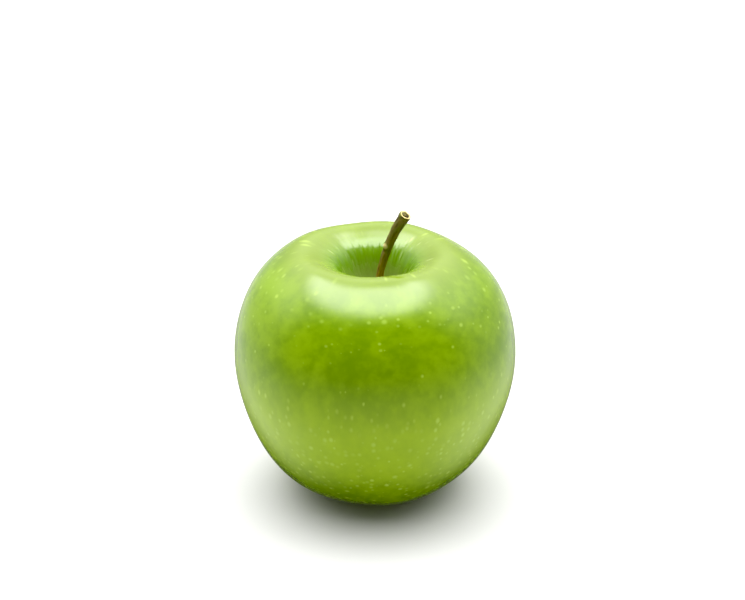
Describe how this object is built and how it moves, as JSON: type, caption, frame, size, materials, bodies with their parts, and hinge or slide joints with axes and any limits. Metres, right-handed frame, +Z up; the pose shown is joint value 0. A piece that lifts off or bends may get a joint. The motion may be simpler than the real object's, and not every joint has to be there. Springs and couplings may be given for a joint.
{
  "type": "green apple",
  "caption": "Whole fresh green apple with a woody stem in its cavity and dried sepals and stamens underneath, standing on its calyx end.",
  "frame": {"origin": "on the table under the middle of the apple", "axes": "+Z up along the core, from the calyx to the stem cavity; -Y is the front, as in the picture; +X to its right, the way the stem leans"},
  "size_m": [0.08, 0.0792, 0.0841],
  "materials": {
    "skin": "waxy, glossy fresh green peel with small pale spots",
    "stem_bark": "dry brown stalk, ridged along its length",
    "dried_sepal": "dry, downy, grey-brown",
    "dried_stamen": "dry, dark brown, matt"
  },
  "bodies": {
    "root": {"fruit": "skin", "stem": "stem_bark", "sepals": "dried_sepal", "stamens": "dried_stamen"}
  },
  "joints": []
}
